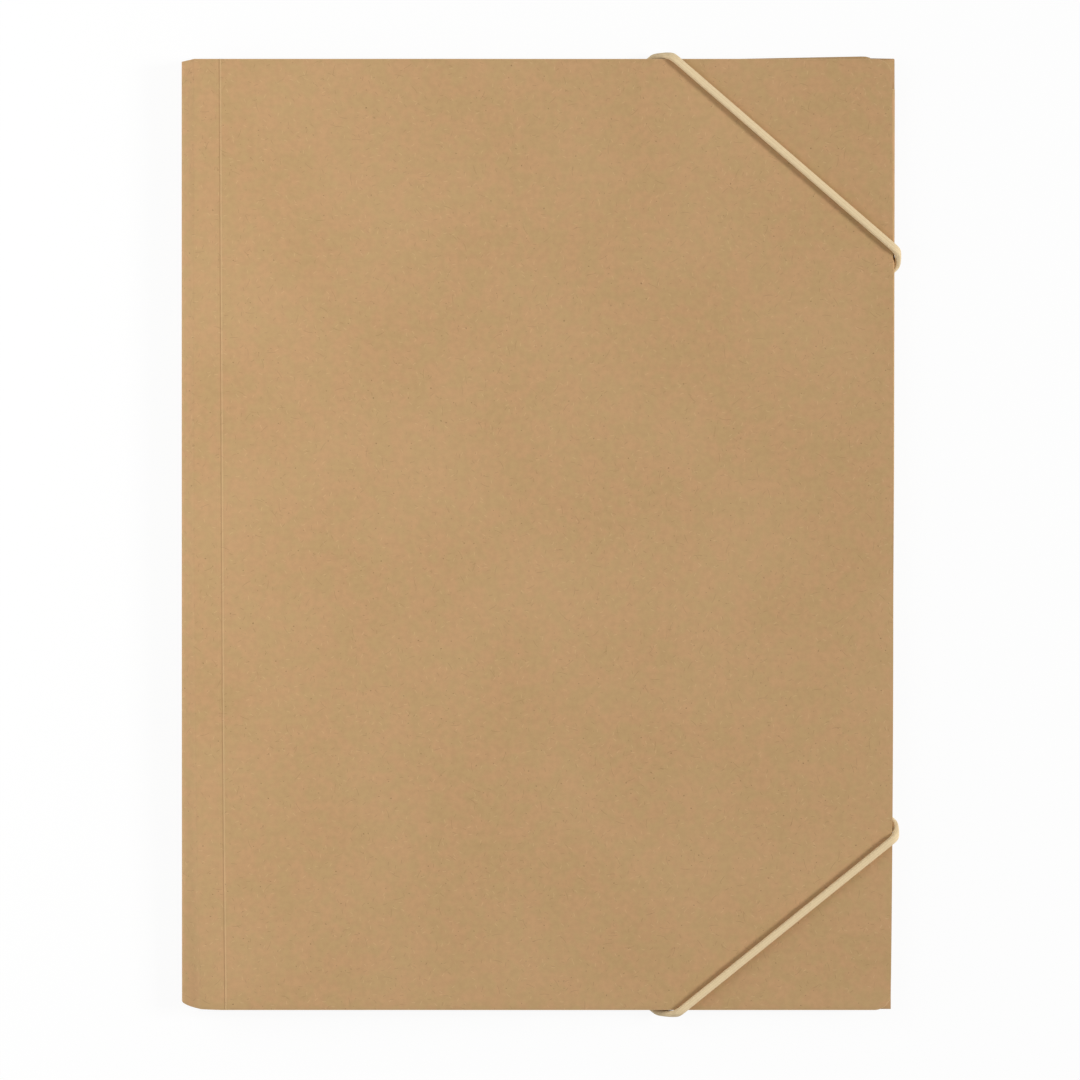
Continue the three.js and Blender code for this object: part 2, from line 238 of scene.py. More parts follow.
def make_kraft_board():
    """Kraft board, machine-finished and uncoated: matte tan, clouded where the pulp is denser, with short
    fibres darker and lighter than the sheet. Its cut edge is painted paler: partly looser fibres where it was
    cut, partly a painted highlight of the lamp on the fore-edge side. Beside the score's bead the spine-side
    flank is painted dark and the fore-edge flank pale: partly burnish where it was pressed and fibres that
    lifted, partly painted shade and painted highlight of that same lamp."""
    material, tree = new_material("kraft_board_machine_finished")
    place = unfolded_mm(tree)

    cloud = stepped(tree, noise(tree, place, size=3.2, detail=3.0, roughness=0.55), 0.36, 0.64)
    tone = mixed(tree, cloud, colour("C2996E"), colour("BB9A6B"))
    dense = stepped(tree, noise(tree, place, size=1.1, detail=2.0, roughness=0.6), 0.3, 0.72)
    wide = stepped(tree, noise(tree, place, size=22.0, detail=1.0), 0.25, 0.75)
    tone = tinted(tree, tone, dense, 0.36, "AC895F")
    tone = tinted(tree, tone, wide, 0.18, "CDAA7E")

    dark = fibres(tree, place, cell=2.6, length=1.5, width=0.15, share_shown=0.27, turn=0.4)
    pale = fibres(tree, place, cell=2.4, length=1.4, width=0.15, share_shown=0.28, turn=1.3)
    long = fibres(tree, place, cell=6.5, length=3.6, width=0.09, share_shown=0.35, turn=2.2)
    specks = stepped(tree, noise(tree, place, size=0.42, detail=1.0, roughness=0.4), 0.73, 0.79)
    tone = tinted(tree, tone, dark, 0.36, "8F6E49")
    tone = tinted(tree, tone, pale, 0.34, "DDBD90")
    tone = tinted(tree, tone, long, 0.4, "7C5D3B")
    tone = tinted(tree, tone, specks, 0.6, "6E5334")
    # The score's flanks: painted shade on the spine-side flank and a painted highlight on the fore-edge
    # flank, partly also burnish and lifted fibres
    burnish_and_shade = add(tree, "ShaderNodeAttribute", attribute_name="score_burnish_and_shading").outputs["Fac"]
    tone = tinted(tree, tone, stepped(tree, burnish_and_shade, 0.0, 1.0), 0.4, "94724C")
    tone = tinted(tree, tone, stepped(tree, burnish_and_shade, 0.0, -1.0), 0.3, "DCBE92")
    # Cut edges painted paler: partly the looser fibres of the cut, partly a painted highlight of the lamp on
    # the fore-edge side
    cut = add(tree, "ShaderNodeAttribute", attribute_name="cut_edge_pale_and_highlit").outputs["Fac"]
    tone = tinted(tree, tone, cut, 0.7, "DCBE92")

    grain = noise(tree, place, size=0.22, detail=3.0, roughness=0.65)
    relief = maths(tree, "ADD", maths(tree, "MULTIPLY", grain, 0.6), maths(tree, "MULTIPLY", dense, 0.5))
    relief = maths(tree, "ADD", relief, maths(tree, "MULTIPLY", pale, 0.35))
    bump = add(tree, "ShaderNodeBump", {"Height": relief, "Strength": 0.35, "Distance": 0.06 * MM})
    inputs = {"Base Color": tone, "Roughness": 0.82, "IOR": 1.5, "Specular IOR Level": 0.28}
    board = add(tree, "ShaderNodeBsdfPrincipled", {**inputs, "Normal": bump.outputs[0]})
    add(tree, "ShaderNodeOutputMaterial", {"Surface": board.outputs[0]})
    return material


YARN_WIDE = 0.51  # width of a yarn of the cord's cover, half a wave
YARN_CROSSING = 0.9  # the yarns cross at every such step along the cord


def make_elastic():
    """Round elastic: a rubber core with a braided cotton cover. Matte cream, with a fine herringbone of yarns
    that reads as faint lengthwise lines; the grooves between the yarns are painted darker, as painted shade."""
    material, tree = new_material("braided_cotton_elastic")
    place = unfolded_mm(tree)
    parts = add(tree, "ShaderNodeSeparateXYZ", {"Vector": place})
    yarn = 2 * math.pi / (2 * YARN_WIDE)
    plait = 2 * math.pi / YARN_CROSSING
    column = maths(tree, "SINE", maths(tree, "MULTIPLY", parts.outputs["X"], yarn))
    near_groove = maths(tree, "ABSOLUTE", column)
    lean = maths(tree, "ADD", parts.outputs["Y"], maths(tree, "MULTIPLY", near_groove, 0.25))
    offset = maths(tree, "MULTIPLY", maths(tree, "SIGN", column), math.pi / 2)
    stitch = maths(tree, "SINE", maths(tree, "ADD", maths(tree, "MULTIPLY", lean, plait), offset))
    yarn_top = stepped(tree, near_groove, 0.0, 0.75)
    weave = maths(tree, "ADD", maths(tree, "MULTIPLY", yarn_top, 0.7), maths(tree, "MULTIPLY", stitch, 0.18))
    # Grooves between the yarns painted darker than the yarn tops: painted shade in the recesses
    tone = mixed(tree, yarn_top, colour("E1C79B"), colour("E9D2A9"))
    worn = stepped(tree, noise(tree, place, size=0.7, detail=3.0, roughness=0.6), 0.3, 0.7)
    tone = tinted(tree, tone, worn, 0.2, "DCC294")
    bump = add(tree, "ShaderNodeBump", {"Height": weave, "Strength": 0.5, "Distance": 0.07 * MM})
    inputs = {"Base Color": tone, "Roughness": 0.8, "IOR": 1.5, "Specular IOR Level": 0.25}
    inputs.update({"Sheen Weight": 0.12, "Sheen Roughness": 0.5, "Normal": bump.outputs[0]})
    cover = add(tree, "ShaderNodeBsdfPrincipled", inputs)
    add(tree, "ShaderNodeOutputMaterial", {"Surface": cover.outputs[0]})
    return material


def make_barb_steel():
    """Steel strip, stamped and nickel-plated: bright grey metal, slightly uneven from tumbling."""
    material, tree = new_material("nickel_plated_stamped_steel")
    place = scaled(tree, add(tree, "ShaderNodeTexCoord").outputs["Object"], 1 / MM)
    tumbled = noise(tree, place, size=0.5, detail=3.0, roughness=0.6)
    inputs = {"Value": tumbled, "To Min": 0.24, "To Max": 0.42}
    rough = add(tree, "ShaderNodeMapRange", inputs).outputs["Result"]
    tone = mixed(tree, tumbled, colour("C9CAC6"), colour("B4B5B3"))
    bump = add(tree, "ShaderNodeBump", {"Height": tumbled, "Strength": 0.2, "Distance": 0.03 * MM})
    inputs = {"Base Color": tone, "Metallic": 1.0, "Roughness": rough, "Normal": bump.outputs[0]}
    plate = add(tree, "ShaderNodeBsdfPrincipled", inputs)
    add(tree, "ShaderNodeOutputMaterial", {"Surface": plate.outputs[0]})
    return material


KRAFT_BOARD = make_kraft_board()
ELASTIC = make_elastic()
BARB_STEEL = make_barb_steel()


# Meshes

def make_mesh(name, vertices, faces, corner_uv, cut, material):
    """A mesh object at the origin, from points in millimetres, faces, the unfolded place of each face corner
    in millimetres, and for each face whether it is a cut edge (1) or not (0)."""
    mesh = bpy.data.meshes.new(name)
    mesh.from_pydata((vertices * MM).tolist(), [], faces)
    mesh.uv_layers.new(name="unfolded")
    mesh.uv_layers["unfolded"].data.foreach_set("uv", (corner_uv * MM).astype(np.float32).ravel())
    mesh.attributes.new("cut_edge_pale_and_highlit", "FLOAT", "FACE").data.foreach_set("value", cut.astype(np.float32))
    mesh.shade_smooth()
    mesh.set_sharp_from_angle(angle=math.radians(60))
    mesh.materials.append(material)
    piece = bpy.data.objects.new(name, mesh)
    bpy.context.scene.collection.objects.link(piece)
    return piece


def merge_doubles(mesh):
    """Joins points that lie on each other, and turns the faces outwards."""
    work = bmesh.new()
    work.from_mesh(mesh)
    bmesh.ops.remove_doubles(work, verts=work.verts, dist=0.001 * MM)
    bmesh.ops.recalc_face_normals(work, faces=work.faces)
    work.to_mesh(mesh)
    work.free()


def share(value, low, high):
    """0 below low, 1 above high, straight between."""
    return np.clip((value - low) / (high - low), 0.0, 1.0)


def eased(value, low, high):
    """0 below low, 1 above high, smooth between."""
    t = share(value, low, high)
    return t * t * (3 - 2 * t)


def unit(vectors):
    """Each vector at length 1."""
    return vectors / np.linalg.norm(vectors, axis=-1, keepdims=True)


# Section of a cut edge, worn slightly round: how far outwards and how far down from the outer face, as shares
EDGE_ROUND = 0.13
EDGE_SECTION = [(-1.0, 0.0), (-0.3, 0.3), (0.0, 1.0)]
JOINED_ROUND = 0.05  # share of the rounding that is left where a sheet goes on in the next
RIM_UNFOLDED = 0.12  # width of each strip of the rim on the unfolded sheet
INSIDE_APART = 700.0  # the inner face is this far from the outer one on the unfolded sheet


def board_sheet(name, outer, unfolded, joined=(), plain=None):
    """A closed sheet of board from a grid of points on its outer face. The inner face lies one board behind,
    along the normal, which is the cross product of the grid's two directions. The rim between them is a cut
    edge with rounded corners. Joined are the rows, 0 or -1, along which the sheet goes on in another. Plain
    is the same grid without its bead: given it, the bead shows as a groove behind."""
    rows, columns = outer.shape[:2]
    count = rows * columns
    shape = outer if plain is None else plain
    normal = unit(np.cross(np.gradient(shape, axis=0), np.gradient(shape, axis=1)))
    number = np.arange(count).reshape(rows, columns)
    rim = np.concatenate([number[:-1, 0], number[-1, :-1], number[:0:-1, -1], number[0, :0:-1]])
    i, j = np.divmod(rim, columns)
    beside = outer[np.clip(i, 1, rows - 2), np.clip(j, 1, columns - 2)]
    edge = outer.reshape(-1, 3)[rim]
    edge_normal = normal.reshape(-1, 3)[rim]
    outwards = edge - beside
    outwards = unit(outwards - edge_normal * np.sum(outwards * edge_normal, axis=1, keepdims=True))

    joined_rows = [row % rows for row in joined]
    size = EDGE_ROUND * np.where(np.isin(i, joined_rows), JOINED_ROUND, 1.0)[:, None]
    rings = [edge + a * size * outwards - b * size * edge_normal for a, b in EDGE_SECTION]
    for a, b in reversed(EDGE_SECTION):
        rings.append(edge + a * size * outwards - (BOARD - b * size) * edge_normal)
    face_top = outer.reshape(-1, 3).copy()
    face_under = (outer - BOARD * normal).reshape(-1, 3)
    face_top[rim] = rings[0]
    face_under[rim] = rings[-1]
    vertices = np.concatenate([face_top, face_under, *rings[1:-1]])

    first = number[:-1, :-1].ravel()
    top = np.stack([first, first + columns, first + columns + 1, first + 1], axis=1)
    around = np.arange(len(rim))
    loops = [rim, *[2 * count + k * len(rim) + around for k in range(len(rings) - 2)], rim + count]
    flat = unfolded.reshape(-1, 2)
    walls = []
    wall_uv = []
    for k, (here, below) in enumerate(zip(loops[:-1], loops[1:])):
        walls.append(np.stack([np.roll(here, -1), here, below, np.roll(below, -1)], axis=1))
        upper = flat[rim] + RIM_UNFOLDED * k
        lower = upper + RIM_UNFOLDED
        next_upper = np.roll(upper, -1, axis=0)
        next_lower = np.roll(lower, -1, axis=0)
        wall_uv.append(np.stack([next_upper, upper, lower, next_lower], axis=1))
    walls = np.concatenate(walls)
    faces = np.concatenate([top, top[:, ::-1] + count, walls])
    inside = flat + np.array([0.0, INSIDE_APART])
    corner_uv = np.concatenate([flat[top], inside[top[:, ::-1]], np.concatenate(wall_uv)]).reshape(-1, 2)
    cut = np.concatenate([np.zeros(2 * len(top)), np.ones(len(walls))])
    return make_mesh(name, vertices, faces.tolist(), corner_uv, cut, KRAFT_BOARD)


def on_back(piece, node="back_card"):
    """A piece that stands for a node of the back, or for part of it."""
    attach(piece, "back")
    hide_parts(node)


# Shape of the card: how far its lines stray from straight ones, as seen in the photograph

CREASE_BOW = 0.35  # the crease, at the foot
COVER_OUT = 0.05  # the cover's fore-edge at mid height, then towards the head and the foot
COVER_IN_AT_HEAD = 0.45
COVER_IN_AT_FOOT = 0.85
FOLD_OUT_AT_HEAD = 0.25  # the side flap's fold
FOLD_IN_BELOW_MIDDLE = 0.25
FOLD_IN_AT_FOOT = 0.9
HEAD_PEEK = 1.1  # the head flap's fold, out past the panel near its free end, and less at the very end
HEAD_PEEK_BACK = 0.45
RIDGE_FROM_OUTSIDE = 4.4  # the spine's front ridge, from the spine's outside, at the head
RIDGE_IN_AT_FOOT = 2.3
RIDGE_SINK_AT_FOOT = 0.9
HEAD_END_IN = 0.75  # the spine's ends, at its fullest line
FOOT_END_IN = 1.1
FOOT_END_ROUND = 1.5
FOOT_STRIP_IN = 0.22  # the strip's end at the ridge
BOW_POWER = 1.1  # of the way down the spine: over 1, its fullest line is below the middle
BOW_POWER_AT_FOOT = 0.35
RIDGE_PASSES = 3  # of the running mean that rounds the ridge
WAVE_HIGH = 0.09  # the cover's two crossing waves
RIPPLE_HIGH = 0.05
PANEL_CORNER_OUT = (0.55, 0.4, 0.1)  # the panel's head corner, out past the head edge at its three points
PANEL_CORNER_CUT = 0.2

# The score across the hinge line: middle and half width of its bead, of its painted shade on the spine-side
# # flank where it was pressed, and of its painted highlight on the fore-edge flank where the fibres lifted
SCORE_HEIGHT = 0.15
BEAD = {"middle": 0.5, "half": 0.5}
PRESSED_AND_SHADED = {"middle": 0.22, "half": 0.32}
LIFTED_AND_LIT = {"middle": 0.68, "half": 0.32}

# Steps of the grids: the first one off the crease is tiny, so that the sheet's normal there is the crease's
TINY_STEP = 0.0005
CORNER_FROM = 0.97  # share of the cover's width from which the steps follow the corners' circles


def cover_top(x):
    """Height of the front cover's outer face: a parabola that falls from the spine's ridge to the fore-edge,
    where it is level."""
    rest = np.clip((COVER_FORE_X - x) / (COVER_FORE_X - RIDGE_X), 0.0, None)
    return COVER_TOP + (RIDGE_TOP - COVER_TOP) * rest ** 2


def crease_x(y):
    """Place of the scored crease at a height up the page: the hinge's axis, bowing slightly at the foot."""
    axis_x = HINGE_POINT[0] + (y - HINGE_POINT[1]) * HINGE_AXIS[0] / HINGE_AXIS[1]
    return axis_x + CREASE_BOW * share(-y, 40, 150) ** 2


def hump(distance, middle, half):
    """A squared cosine: 1 at the middle, falling to 0 at the half width on either side."""
    return np.cos(np.clip((distance - middle) / half, -1, 1) * math.pi / 2) ** 2


def score(distance):
    """The bead of the score, pressed up from inside on the cover's side of the hinge line."""
    return SCORE_HEIGHT * hump(distance, **BEAD)


def score_burnish_and_shading(distance):
    """The score's marks on the outer face, partly burnish and partly painted light: 1 for painted shade on
    the spine-side flank, where it was pressed, -1 for a painted highlight on the fore-edge flank, where the
    fibres lifted.
    """
    return hump(distance, **PRESSED_AND_SHADED) - hump(distance, **LIFTED_AND_LIT)


def end_trim(x):
    """How far the head and foot edges of the cover draw in towards the spine, where it lies higher."""
    return HALF_HEIGHT * (cover_top(x) - COVER_TOP) / CAMERA_DISTANCE


def up_the_page(steps=181):
    """Shares of half the height from foot (-1) to head (1)."""
    return np.linspace(-1, 1, steps)


def make_cover():
    """Front cover: places across, from crease to fore-edge, by places up the page. The fore-edge bows in at
    both ends, the outer corners are quarter circles, and a wave a tenth of a millimetre high crosses it."""
    plain = np.concatenate([[0.0], np.linspace(TINY_STEP, CORNER_FROM, 120)])
    corner = CORNER_FROM + (1 - CORNER_FROM) * np.sin(np.linspace(0, math.pi / 2, 18)[1:])
    s, t = np.meshgrid(np.concatenate([plain, corner]), up_the_page(), indexing="ij")
    y = t * HALF_HEIGHT
    bow = COVER_OUT - COVER_IN_AT_HEAD * share(y, 40, 150) ** 2 - COVER_IN_AT_FOOT * share(-y, 20, 160) ** 2
    finish = COVER_FORE_X + bow
    x = crease_x(y) + CREASE_STRIP + s * (finish - crease_x(y) - CREASE_STRIP)
    into_corner = np.clip(x - finish + COVER_CORNER, 0, COVER_CORNER)
    rounding = COVER_CORNER - np.sqrt(COVER_CORNER ** 2 - into_corner ** 2)
    y = t * (HALF_HEIGHT - end_trim(x) - rounding)
    settled = eased(x, crease_x(y) + 6, crease_x(y) + 50) * eased(COVER_FORE_X - x, 0, 40)
    wave = WAVE_HIGH * np.sin(x / 23 + 0.7) * np.sin(y / 37 + 0.4)
    ripple = RIPPLE_HIGH * np.sin(x / 13 - y / 19)
    points = np.stack([x, y, cover_top(x) + (wave + ripple) * settled], axis=2)
    piece = board_sheet("front_cover_board", points, np.stack([x, y], axis=2), joined=(0,))
    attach(piece, "cover")
    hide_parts("front_cover")


def make_crease():
    """The strip along the crease: distance across the crease by places up the page, raised by the score."""
    distance, t = np.meshgrid(np.linspace(-CREASE_STRIP, CREASE_STRIP, 33), up_the_page(), indexing="ij")
    x = crease_x(t * HALF_HEIGHT) + distance
    y = t * (HALF_HEIGHT - end_trim(x))
    plain = np.stack([x, y, cover_top(x)], axis=2)
    points = plain + score(distance)[:, :, None] * np.array([0, 0, 1.0])
    piece = board_sheet("cover_crease", points, np.stack([x, y], axis=2), joined=(0, -1), plain=plain)
    middle = (distance[:-1, :-1] + distance[1:, :-1]).ravel() / 2
    # Painted shade and painted highlight of the bead's flanks, partly its burnish, kept per face for the
    # board's colour
    mark = np.zeros(len(piece.data.polygons), np.float32)
    mark[:len(middle)] = score_burnish_and_shading(middle)
    piece.data.attributes.new("score_burnish_and_shading", "FLOAT", "FACE").data.foreach_set("value", mark)
    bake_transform(piece)


def make_spine():
    """Strip beside the crease, front ridge, spine and the start of the back panel, as one section carried up
    the page. The spine bows out as the sine of a power of the way down, so that its fullest line is lower
    towards the foot. The ridge moves in, and sinks, with the fourth power of the way to the foot, and a
    running mean rounds it. The ends draw back with the bow, straight at the head and nearly as a circle does
    at the foot."""
    strip = np.concatenate([[0.0], np.linspace(0.01, 1, 24)])
    down = np.linspace(0, 1, 61)[1:]
    leg = np.linspace(0, 1, 6)[1:]
    t = up_the_page()
    y = t * HALF_HEIGHT
    to_foot = (1 - t) / 2

    ridge_x = SPINE_X + RIDGE_FROM_OUTSIDE + RIDGE_IN_AT_FOOT * to_foot ** 4
    sink = RIDGE_SINK_AT_FOOT * to_foot ** 4
    start_x = crease_x(y) - CREASE_STRIP
    x_strip = start_x + strip[:, None] * (ridge_x - start_x)
    z_strip = cover_top(x_strip) - sink * strip[:, None] ** 2
    top = cover_top(ridge_x) - sink

    way = down[:, None]
    bow = np.sin(math.pi * way ** (BOW_POWER + BOW_POWER_AT_FOOT * to_foot ** 2))
    line = ridge_x * (1 - way) + RIDGE_X * way
    x_arc = line - (line - SPINE_X) * bow
    z_arc = top + (PANEL_UNDER - top) * way
    x_leg = RIDGE_X + (PANEL_FROM - RIDGE_X) * leg[:, None] + 0 * y
    z_leg = np.full_like(x_leg, PANEL_UNDER)
    x = np.concatenate([x_strip, x_arc, x_leg])
    z = np.concatenate([z_strip, z_arc, z_leg])
    for _ in range(RIDGE_PASSES):
        x[1:-1] = (x[:-2] + 2 * x[1:-1] + x[2:]) / 4
        z[1:-1] = (z[:-2] + 2 * z[1:-1] + z[2:]) / 4

    out = np.clip((ridge_x - x) / (ridge_x - SPINE_X), 0, 1)
    head_in = HEAD_END_IN * out
    foot_in = FOOT_END_ROUND * (1 - np.sqrt(1 - out ** 2)) + FOOT_END_IN * out
    foot_in = foot_in + FOOT_STRIP_IN * share(start_x - x, 0, 8)
    trim = end_trim(np.maximum(x, RIDGE_X)) * share(z, PANEL_TOP, RIDGE_TOP - 1)
    y_grid = np.where(t > 0, t * (HALF_HEIGHT - trim - head_in), t * (HALF_HEIGHT - trim - foot_in))
    steps = np.hypot(np.diff(x, axis=0, prepend=x[:1]), np.diff(z, axis=0, prepend=z[:1]))
    points = np.stack([x, y_grid, z], axis=2)
    unfolded = np.stack([start_x - np.cumsum(steps, axis=0), y_grid], axis=2)
    on_back(board_sheet("spine_board", points[:, ::-1], unfolded[:, ::-1], joined=(0, -1)))


def head_peek(x):
    """How far the head flap's fold stands out past the panel: it opens towards its free end."""
    opened = HEAD_PEEK * share(x, FORE_X - 67, FORE_X - 10)
    return opened - HEAD_PEEK_BACK * share(x, FORE_X - 10.5, FORE_X - 8) ** 2


def fold_and_leaf(under, depth):
    """Outer face of a flap and its fold, from the panel's underside: half a turn, then flat. Gives the place
    inwards of the edge, the height and the way travelled."""
    radius = (under + BOARD - PANEL_UNDER) / 2
    angle = np.linspace(0, math.pi, 21)
    leaf = radius + (depth - radius) * np.sin(np.linspace(0, math.pi / 2, 60)[1:])
    inwards = np.concatenate([radius - radius * np.sin(angle), leaf])
    turn = PANEL_UNDER + radius - radius * np.cos(angle)
    height = np.concatenate([turn, np.full(leaf.shape, under + BOARD)])
    travelled = np.cumsum(np.hypot(np.diff(inwards, prepend=inwards[0]), np.diff(height, prepend=height[0])))
    return inwards, height, travelled


def flap_sides(inwards, start, end, depth):
    """Both sides of a flap at each place inwards: they slope in evenly, and a circle rounds each corner."""
    slope = FLAP_TAPER * share(inwards, 0, depth)
    into = np.clip(inwards - depth + FLAP_CORNER, 0, FLAP_CORNER)
    corner = FLAP_CORNER - np.sqrt(FLAP_CORNER ** 2 - into ** 2)
    return start + slope + corner, end - slope - corner


def make_end_flap(name, side, peek):
    """Head flap (side 1) or foot flap (side -1): the way along its section by places along its fold. Peek
    gives how far the fold stands out past the panel."""
    inwards, height, travelled = fold_and_leaf(END_FLAP_UNDER, END_FLAP_DEPTH)
    start = SPINE_X + END_FLAP_FROM_SPINE
    end = FORE_X - END_FLAP_FROM_FORE_EDGE
    low, high = flap_sides(inwards, start, end, END_FLAP_DEPTH)
    along = np.linspace(0, 1, 141)
    x = low[:, None] + along * (high - low)[:, None]
    y = side * (HALF_HEIGHT + peek(x) - inwards[:, None])
    points = np.stack([x, y, height[:, None] + 0 * x], axis=2)
    unfolded = np.stack([x, side * (HALF_HEIGHT + travelled[:, None]) + 0 * x], axis=2)
    order = slice(None, None, side)
    on_back(board_sheet(name, points[:, order], unfolded[:, order], joined=(0,)))


def fore_fold_out(y):
    """How far the side flap's fold lies from its straight edge: out at the head, in towards the foot."""
    below = FOLD_IN_BELOW_MIDDLE * eased(-y, -30, 30)
    return FOLD_OUT_AT_HEAD * share(y, 20, 150) - below - FOLD_IN_AT_FOOT * share(-y, 20, 160) ** 2


def make_side_flap():
    """Side flap, folded in over the other two: the way along its section by places along its fold."""
    inwards, height, travelled = fold_and_leaf(SIDE_FLAP_UNDER, SIDE_FLAP_DEPTH)
    reach = HALF_HEIGHT - SIDE_FLAP_FROM_END
    low, high = flap_sides(inwards, -reach, reach, SIDE_FLAP_DEPTH)
    along = np.linspace(0, 1, 141)
    y = low[:, None] + along * (high - low)[:, None]
    x = FORE_X + fore_fold_out(y) - inwards[:, None]
    points = np.stack([x, y, height[:, None] + 0 * y], axis=2)
    unfolded = np.stack([FORE_X + travelled[:, None] + 0 * y, y], axis=2)
    on_back(board_sheet("side_flap", points[:, ::-1], unfolded[:, ::-1], joined=(0,)))


def panel_outline():
    """Corners of the back panel, which stops short of each fold by the fold's radius."""
    end_radius = (END_FLAP_UNDER + BOARD - PANEL_UNDER) / 2
    side_radius = (SIDE_FLAP_UNDER + BOARD - PANEL_UNDER) / 2
    fold_from = SPINE_X + END_FLAP_FROM_SPINE
    fold_to = FORE_X - END_FLAP_FROM_FORE_EDGE
    side_to = HALF_HEIGHT - SIDE_FLAP_FROM_END
    fold_x = np.linspace(fold_from, fold_to, 60)
    fold_y = np.linspace(side_to, -side_to, 60)
    right = FORE_X + fore_fold_out(fold_y)
    head = np.stack([fold_x, HALF_HEIGHT - end_radius + head_peek(fold_x)], axis=1)
    side = np.stack([right - side_radius, fold_y], axis=1)
    foot = end_radius - HALF_HEIGHT
    outline = [(PANEL_FROM, -HALF_HEIGHT), (PANEL_FROM, HALF_HEIGHT), (fold_from, HALF_HEIGHT), *head]
    corner_x = [fold_to, right[0] - PANEL_CORNER_CUT, right[0]]
    outline += [(x, HALF_HEIGHT + out) for x, out in zip(corner_x, PANEL_CORNER_OUT)]
    outline += [(right[0], side_to), *side, (right[-1], -side_to), (right[-1], -HALF_HEIGHT)]
    outline += [(fold_to, -HALF_HEIGHT), (fold_to, foot), (fold_from, foot), (fold_from, -HALF_HEIGHT)]
    return np.array(outline)


def make_panel(holes):
    """Back panel: a flat outline with a round hole for each end of a cord, filled and given its thickness."""
    turn = np.linspace(0, 2 * math.pi, 33)[:-1]
    circle = (CORD / 2 + HOLE_CLEARANCE) * np.stack([np.cos(turn), np.sin(turn)], axis=1)
    curve = bpy.data.curves.new("panel_outline", "CURVE")
    curve.dimensions = "2D"
    curve.fill_mode = "BOTH"
    curve.extrude = BOARD / 2
    for ring in [panel_outline(), *[circle + hole[:2] for hole in holes]]:
        spline = curve.splines.new("POLY")
        spline.points.add(len(ring) - 1)
        whole = np.column_stack([ring, np.zeros(len(ring)), np.ones(len(ring))])
        spline.points.foreach_set("co", whole.astype(np.float32).ravel())
        spline.use_cyclic_u = True
    holder = bpy.data.objects.new("panel_outline", curve)
    bpy.context.scene.collection.objects.link(holder)
    filled = bpy.data.meshes.new_from_object(holder)
    bpy.data.objects.remove(holder)
    bpy.data.curves.remove(curve)

    vertices = np.empty(3 * len(filled.vertices), np.float32)
    filled.vertices.foreach_get("co", vertices)
    vertices = vertices.reshape(-1, 3).astype(float)
    vertices[:, 2] += PANEL_UNDER + BOARD / 2
    faces = [list(polygon.vertices) for polygon in filled.polygons]
    upright = np.array([abs(polygon.normal.z) < 0.5 for polygon in filled.polygons])
    corner = np.empty(len(filled.loops), np.int32)
    filled.loops.foreach_get("vertex_index", corner)
    piece = make_mesh("back_panel", vertices, faces, vertices[corner][:, :2], upright * 1.0, KRAFT_BOARD)
    bpy.data.meshes.remove(filled)
    merge_doubles(piece.data)
    on_back(piece)


# Elastics

CORD_WIDE = CORD / 2  # half the width
CORD_HIGH = 1.1  # half the thickness: stretched over the card, the elastic lies a little flat
CORD_POWER = 0.7  # of the section's sine and cosine: 1 is an ellipse
CORD_AROUND = 32  # points round the section
BEND = CORD_HIGH  # radius of its middle line round an edge, before its stiffness eases the bends
END_SLANT = 0.85  # share of its slant on the front that it keeps round the head or foot edge
FORE_SLANT = 0.95  # the same round the fore-edge
CORD_STEP = 0.35  # between the stations of its middle line
EASE_PASSES = 30


def quarter_turn(corner, shift, from_away, to_away, steps=14):
    """Middle line of the cord round a corner: a circle about a point that shifts as it goes."""
    angle = np.linspace(0, math.pi / 2, steps)[:, None]
    away = np.cos(angle) * from_away + np.sin(angle) * to_away
    return corner + shift * BEND * angle + BEND * away, away


